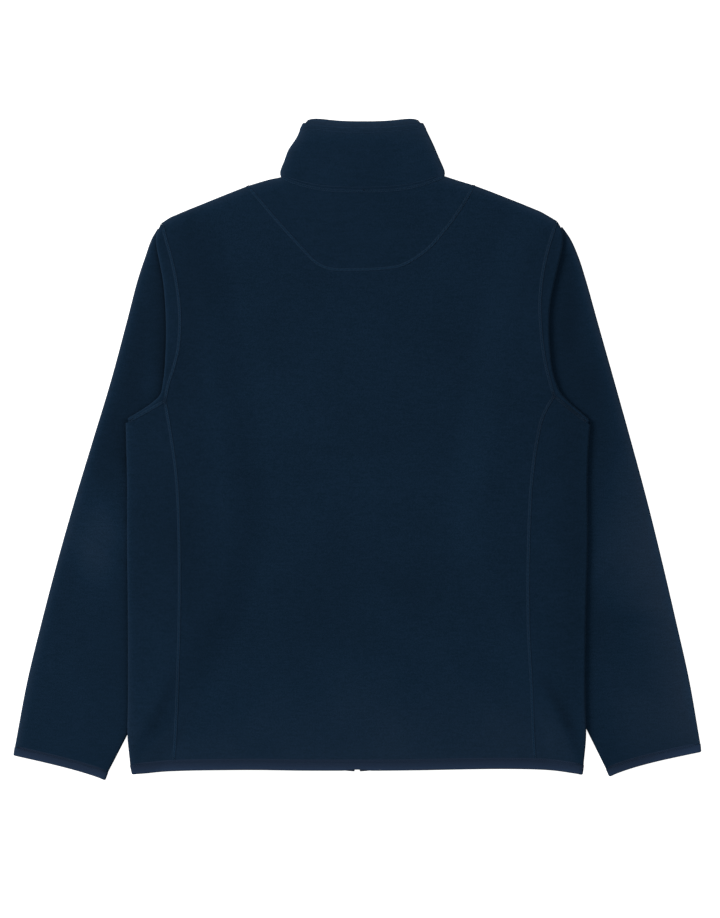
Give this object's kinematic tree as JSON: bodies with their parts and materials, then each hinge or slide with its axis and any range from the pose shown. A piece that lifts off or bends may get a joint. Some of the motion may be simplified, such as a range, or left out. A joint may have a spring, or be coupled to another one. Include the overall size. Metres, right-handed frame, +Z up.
{
  "type": "fleece zip jacket",
  "caption": "Thin fleece jacket with a stand collar, half-moon yoke, bound hem and cuffs and a full front zip, lying flat on its front with its sleeves down.",
  "frame": {"origin": "on the surface that the jacket lies on, under the middle of its bounding box", "axes": "+X across the garment to the right as seen from its back, +Y up the garment towards the collar, +Z up from the surface it lies on"},
  "size_m": [0.8248, 0.7926, 0.0113],
  "materials": {
    "fleece": "brushed knitted micro fleece, navy",
    "binding": "stretch knitted binding tape, navy",
    "zip_tape": "woven polyester zip tape, navy",
    "zip_teeth": "moulded acetal, satin, navy",
    "zip_metal": "zinc die casting, painted dark, satin"
  },
  "bodies": {
    "jacket": {"back_panel": "fleece", "half_moon_yoke": "fleece", "side_panel_left": "fleece", "side_panel_right": "fleece", "front_panel_left": "fleece", "front_panel_right": "fleece", "sleeve_left": "fleece", "sleeve_right": "fleece", "cuff_binding_left": "binding", "cuff_binding_right": "binding", "collar": "fleece", "hem_binding": "binding", "zip_tape_left": "zip_tape", "zip_tape_right": "zip_tape", "zip_teeth": "zip_teeth", "zip_box": "zip_teeth", "zip_slider": "zip_metal"},
    "pull_tab": {"pull_tab": "zip_metal"}
  },
  "joints": [
    {"name": "pull_tab_hinge", "type": "hinge", "parent": "jacket", "child": "pull_tab", "pos_m": [0, 0.3185, 0.0015], "axis": [1, 0, 0], "range_deg": [0, 165]}
  ]
}
